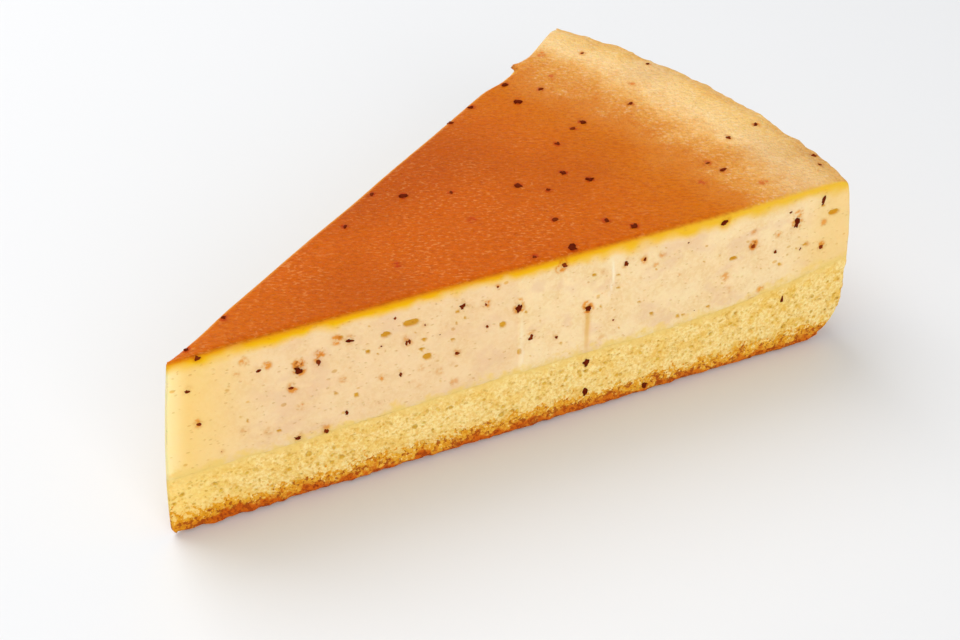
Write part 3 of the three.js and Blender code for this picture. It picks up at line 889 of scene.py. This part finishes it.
# On the near cut: distance from the tip, height, width, tallness and how strongly it stains.
near_flecks = [
    (17.0, 23.6, 1.25, 1.5, 1.0),
    (19.9, 23.9, 0.75, 0.9, 0.6),
    (24.5, 26.2, 1.2, 0.7, 0.4),
    (15.6, 11.7, 1.4, 0.7, 0.4),
    (19.9, 11.4, 0.75, 1.0, 0.5),
    (23.1, 13.7, 0.55, 1.1, 0.1),
    (32.9, 23.2, 0.9, 1.2, 0.5),
    (41.3, 26.9, 0.9, 0.8, 0.3),
    (44.8, 26.1, 0.5, 0.6, 0.8),
    (49.9, 23.9, 1.0, 1.5, 0.7),
    (51.9, 17.8, 0.9, 1.5, 0.4),
    (3.9, 30.0, 0.9, 0.7, 0.5),
    (1.8, 25.1, 0.9, 0.6, 0.3),
    (2.5, 19.1, 0.7, 0.6, 0.6),
    (15.6, 20.9, 0.6, 0.6, 0.5),
    (11.5, 25.3, 0.9, 0.6, 0.2),
    (57.0, 29.4, 0.9, 0.8, 0.8),
    (61.1, 20.4, 1.3, 1.0, 1.0),
    (61.2, 10.0, 1.1, 1.7, 0.1),
    (61.4, 3.9, 1.0, 1.6, 0.1),
    (56.0, 16.7, 0.8, 0.5, 0.4),
    (67.1, 26.7, 0.75, 1.0, 0.3),
    (70.2, 26.6, 0.5, 0.6, 0.4),
    (83.4, 29.4, 1.2, 0.9, 0.5),
    (89.0, 23.6, 0.75, 0.7, 1.0),
    (95.0, 28.1, 0.5, 0.5, 0.2),
    (96.5, 25.7, 1.1, 2.3, 0.6),
    (100.8, 28.7, 0.75, 1.5, 0.2),
    (101.9, 19.7, 0.8, 0.8, 0.7),
    (96.0, 11.2, 0.5, 1.3, 0.1),
    (71.8, 1.6, 0.8, 1.1, 0.1),
    (31.5, 17.9, 0.5, 0.7, 0.4),
    (40.2, 18.8, 0.9, 0.5, 0.5),
]
# Flecks just under the near cut that only tint it: distance from the tip, height, width and strength.
near_smudges = [
    (9.8, 27.5, 1.3, 0.55),
    (22.7, 26.9, 1.6, 0.75),
    (20.2, 25.3, 1.3, 0.75),
    (15.9, 20.5, 1.2, 0.7),
    (16.8, 17.2, 0.9, 0.5),
    (12.8, 25.8, 1.0, 0.7),
    (23.1, 19.9, 1.1, 0.45),
    (28.8, 18.2, 0.8, 0.6),
    (34.7, 18.0, 1.2, 0.35),
    (39.5, 13.7, 1.8, 0.4),
    (8.3, 15.8, 1.6, 0.35),
    (11.7, 14.5, 1.7, 0.35),
    (56.4, 29.0, 1.6, 0.7),
    (70.0, 26.5, 1.2, 0.55),
    (73.1, 26.7, 1.1, 0.45),
    (84.5, 19.2, 2.0, 0.45),
    (90.1, 13.6, 1.8, 0.4),
    (91.5, 14.6, 1.2, 0.5),
    (93.3, 24.6, 1.1, 0.5),
    (101.5, 24.5, 1.2, 0.5),
]
# On the top: place along the slice and across it, width, and how dark it is from 0 to 1.
top_flecks = [
    (46.2, 9.0, 1.2, 1.0),
    (34.9, 8.3, 0.8, 0.9),
    (42.8, 12.4, 0.9, 0.6),
    (70.5, 21.7, 1.1, 1.0),
    (65.0, 20.4, 1.0, 0.6),
    (79.5, 23.4, 1.0, 0.9),
    (77.5, 18.0, 1.4, 1.0),
    (83.0, 18.4, 0.9, 0.6),
    (87.2, 20.0, 1.0, 0.4),
    (90.5, 26.3, 1.3, 0.4),
    (96.0, 21.8, 0.6, 0.7),
    (101.8, 11.6, 0.8, 0.9),
    (81.1, 6.4, 1.1, 0.9),
    (78.6, 5.9, 0.9, 0.5),
    (73.6, 4.3, 0.9, 0.8),
    (61.2, -0.2, 1.2, 0.9),
    (68.7, -2.2, 1.0, 1.0),
    (63.8, -4.0, 0.8, 0.7),
    (70.3, -6.3, 1.1, 1.0),
    (59.3, -10.3, 0.9, 0.6),
    (64.7, -15.5, 0.9, 0.9),
    (66.8, -19.1, 1.0, 0.9),
    (90.5, 4.8, 0.9, 0.8),
    (95.0, 8.8, 0.9, 0.2),
    (94.4, -12.9, 0.9, 0.7),
    (100.6, -13.3, 0.9, 0.9),
    (87.5, -18.1, 1.0, 0.8),
    (82.7, -18.1, 1.0, 0.4),
    (87.0, -15.2, 0.7, 0.7),
    (89.2, -24.5, 1.3, 0.3),
    (99.2, -27.2, 0.7, 0.7),
    (101.0, -24.7, 0.9, 0.6),
    (35.0, -3.8, 1.1, 0.3),
    (50.0, -2.4, 1.2, 0.2),
    (52.2, 4.9, 0.8, 0.5),
    (10.3, 2.4, 0.7, 0.9),
    (3.2, 0.6, 0.8, 0.9),
    (50.8, -15.1, 0.8, 0.6),
    (56.4, -17.0, 1.5, 1.0),
]


def surface_tree(*objects):
    """The outer surface of several pieces, to be met by straight lines from outside."""
    corners, faces = [], []
    for piece in objects:
        start = len(corners)
        corners += [v.co.copy() for v in piece.data.vertices]
        faces += [[start + i for i in face.vertices] for face in piece.data.polygons]
    return BVHTree.FromPolygons(corners, faces)


surface = surface_tree(sponge, filling)


def spot_on_cut(distance, height, side):
    """The spot on the near cut (side -1) or the far one (side 1), and the way the surface faces there."""
    out = Vector((-math.sin(HALF_ANGLE), side * math.cos(HALF_ANGLE), 0))
    along = Vector((math.cos(HALF_ANGLE), side * math.sin(HALF_ANGLE), 0))
    start = tip_spot + along * distance * MM + Vector((0, 0, height * MM)) + out * 9 * MM
    return surface.ray_cast(start, -out)[:2]


def spot_on_top(x, y):
    return surface.ray_cast(tip_spot + Vector((x * MM, y * MM, CAKE_HEIGHT * 1.2)), Vector((0, 0, -1)))[:2]


def spot_on_wall(turn, height):
    way = Vector((math.cos(turn), math.sin(turn), 0))
    start = tip_spot + way * CAKE_RADIUS * 1.2 + Vector((0, 0, height * MM))
    return surface.ray_cast(start, -way)[:2]


def add_fleck(flecks, tone_layer, spot, facing, width, tall, tone, luck):
    """Adds one lump, its long way lying roughly upright or level on the surface, and uneven all over."""
    turn = facing.to_track_quat("Z", "Y").to_matrix().to_4x4()
    roll = Matrix.Rotation(luck.uniform(-0.4, 0.4) * min(1, width / tall) ** 2, 4, "Z")
    thick = FLECK_THICKNESS * min(width, tall)
    size = Matrix.Diagonal((width * MM, tall * MM, thick * MM, 1))
    place = Matrix.Translation(spot - facing * thick * MM * (FLECK_SINK - 0.5)) @ turn @ roll @ size
    made = bmesh.ops.create_icosphere(flecks, subdivisions=2, radius=0.5, matrix=place)
    middle = place.translation
    seed = Vector((tone * 31, width * 17, tall * 13))
    for vertex in made["verts"]:
        spoke = vertex.co - middle
        dent = noise.noise(spoke / LARGE_DENT + seed) + 0.6 * noise.noise(spoke / SMALL_DENT + seed)
        vertex.co = middle + spoke * (1 + FLECK_DENTS * dent)
        vertex[tone_layer] = tone


def strew(luck, count, smallest, largest):
    """Places on a cut for flecks of the range's sizes, mostly small ones."""
    for _ in range(count):
        width = smallest + (largest - smallest) * luck.random() ** 2
        yield luck.uniform(4, 102), luck.uniform(12.5, 29), width, width * luck.uniform(0.6, 1.5)


luck = random.Random(12)
flecks = bmesh.new()
tones = flecks.verts.layers.float.new("tone")
stains = []
for distance, height, width, tall, stain in near_flecks:
    spot, facing = spot_on_cut(distance, height, -1)
    tone = 0.1 + 0.75 * stain * (width < 1)
    add_fleck(flecks, tones, spot, facing, width, tall, tone, luck)
    reach = 0.5 * math.hypot(width, tall) * MM
    drawn_up = Vector((luck.uniform(-0.3, 0.3) * width, 0, 0.7 * tall)) * MM
    stains.append((spot, reach, 0.85 * stain))
    stains.append((spot + drawn_up, 0.6 * reach, 0.95 * stain))
for side, count in ((-1, FAINT_FLECKS), (1, FAR_FLECKS)):
    for distance, height, width, tall in strew(luck, count, 0.25, 0.6 if side < 0 else 1.4):
        spot, facing = spot_on_cut(distance, height, side)
        add_fleck(flecks, tones, spot, facing, width, tall, luck.random(), luck)
        stains.append((spot, 0.5 * width * MM, luck.uniform(0.1, 0.6)))
    for distance, height, width, tall in strew(luck, BURIED_STAINS, 0.5, 1.4):
        stains.append((spot_on_cut(distance, height, side)[0], 0.4 * width * MM, luck.uniform(0.12, 0.5)))
for distance, height, width, strength in near_smudges:
    stains.append((spot_on_cut(distance, height, -1)[0], 0.4 * width * MM, strength))
for x, y, width, dark in top_flecks:
    spot, facing = spot_on_top(x, y)
    if dark > 0.45:
        add_fleck(flecks, tones, spot, facing, width * luck.uniform(0.7, 1), width, 0.8 - 0.7 * dark, luck)
    stains.append((spot, 0.45 * width * MM, 0.6 + 0.3 * dark))
for _ in range(WALL_FLECKS):
    spot, facing = spot_on_wall(luck.uniform(-0.9, 0.9) * HALF_ANGLE, luck.uniform(17, 29))
    width = luck.uniform(0.4, 1.2)
    add_fleck(flecks, tones, spot, facing, width, width * luck.uniform(0.7, 1.3), luck.random(), luck)
    stains.append((spot, 0.5 * width * MM, 0.4))

fleck_mesh = bpy.data.meshes.new("dark_flecks")
bmesh.ops.recalc_face_normals(flecks, faces=flecks.faces)
flecks.to_mesh(fleck_mesh)
flecks.free()
fleck_mesh.polygons.foreach_set("use_smooth", [True] * len(fleck_mesh.polygons))
dark_flecks = bpy.data.objects.new("dark_flecks", fleck_mesh)
bpy.context.collection.objects.link(dark_flecks)


def knife_line(along, z, at, width, starts, ends):
    """A thin upright mark on the cut, fading in over one range of heights and out over another."""
    return np.exp(-(((along - at) / width) ** 2)) * ease(z, *starts) * (1 - ease(z, *ends))


def mark_filling():
    """Marks how far the flecks stain each spot, and where the knife smeared or scraped the near cut."""
    spots = np.array([v.co[:] for v in filling.data.vertices])
    amount = np.zeros(len(spots))
    for centre, reach, strength in stains:
        distance = np.linalg.norm(spots - np.array(centre), axis=1)
        fall = np.exp(-((np.maximum(distance - 0.6 * reach, 0) / STAIN_SPREAD) ** 2))
        amount = np.maximum(amount, strength * fall)
    keep_values(filling.data, "stain", amount)
    x, y, z = (spots - np.array(tip_spot)).T
    along = x * math.cos(HALF_ANGLE) - y * math.sin(HALF_ANGLE)
    on_near = (x * near_out.x + y * near_out.y) > -1.2 * MM
    smear = knife_line(along, z, SMEAR_AT, SMEAR_WIDTH, SMEAR_STARTS, SMEAR_ENDS)
    keep_values(filling.data, "smear", smear * on_near)
    bow = SCRAPE_BOW * np.sin((z / MM - 22) / 7 * math.pi)
    scrape = knife_line(along - bow, z, SCRAPE_AT, SCRAPE_WIDTH, SCRAPE_STARTS, SCRAPE_ENDS)
    beside_step = knife_line(
        along, z, STEP_SCRAPE_AT, STEP_SCRAPE_WIDTH, STEP_SCRAPE_STARTS, STEP_SCRAPE_ENDS
    )
    keep_values(filling.data, "scrape", np.maximum(scrape, 0.5 * beside_step) * on_near)


mark_filling()


def fleck_skin():
    material, nodes, skin = new_material("fleck_skin")
    tone = nodes.attribute("tone")
    rough = nodes.noise(nodes.millimetres(), 0.4, 2)
    colour = nodes.mix(tone, srgb(86, 16, 4), srgb(156, 68, 18))
    colour = nodes.mix(nodes.fade(rough, 0.35, 0.65, 0, 0.5), colour, srgb(116, 38, 12))
    nodes.tree.links.new(colour, skin.inputs["Base Color"])
    nodes.tree.links.new(nodes.bump(rough, 0.1 * MM), skin.inputs["Normal"])
    skin.inputs["Roughness"].default_value = 0.75
    skin.inputs["Specular IOR Level"].default_value = 0.02
    return material


dark_flecks.data.materials.append(fleck_skin())
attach(dark_flecks, "root")
